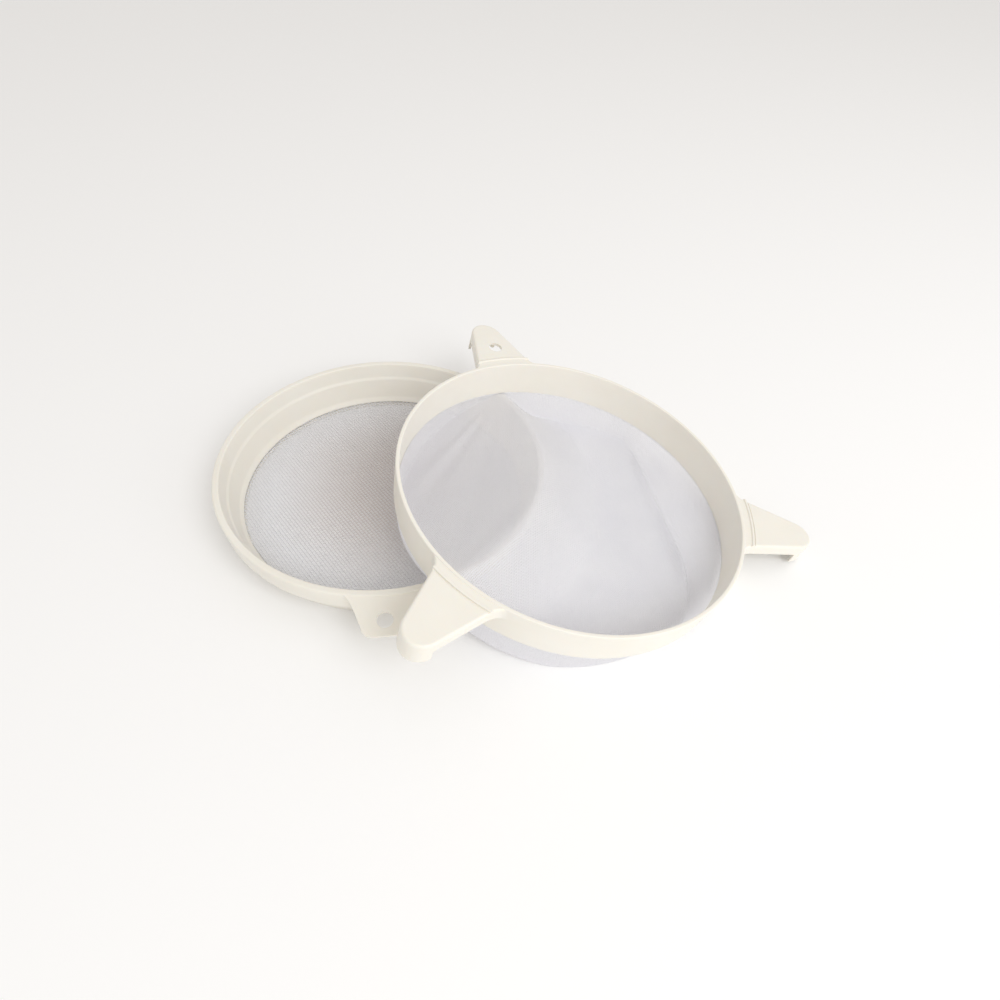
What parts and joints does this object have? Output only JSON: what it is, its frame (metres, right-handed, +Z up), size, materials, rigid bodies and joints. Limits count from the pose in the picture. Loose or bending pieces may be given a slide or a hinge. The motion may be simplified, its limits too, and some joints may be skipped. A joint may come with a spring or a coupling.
{
  "type": "double sieve strainer",
  "caption": "Round two-stage honey strainer: a coarse sieve lying flat, and a fine sieve with a cloth pouch and three hooked carrying arms leaning on its rim.",
  "frame": {"origin": "on the table, under the middle of the pair's footprint", "axes": "+Z up; +X from the coarse sieve towards the fine sieve, which slopes down that way; -Y towards the coarse sieve's lifting tab"},
  "size_m": [0.433, 0.308, 0.0764],
  "materials": {
    "coarse_plastic": "satin",
    "coarse_net": "open woven nylon",
    "fine_plastic": "satin",
    "fine_net": "fine woven nylon"
  },
  "bodies": {
    "coarse_sieve": {"coarse_ring": "coarse_plastic", "coarse_mesh": "coarse_net"},
    "fine_sieve": {"fine_ring": "fine_plastic", "fine_mesh_bag": "fine_net"}
  },
  "joints": [
    {"name": "fine_sieve_lift", "type": "slide", "parent": "coarse_sieve", "child": "fine_sieve", "axis": [0, 0, 1], "range_m": [0, 0.2]}
  ]
}
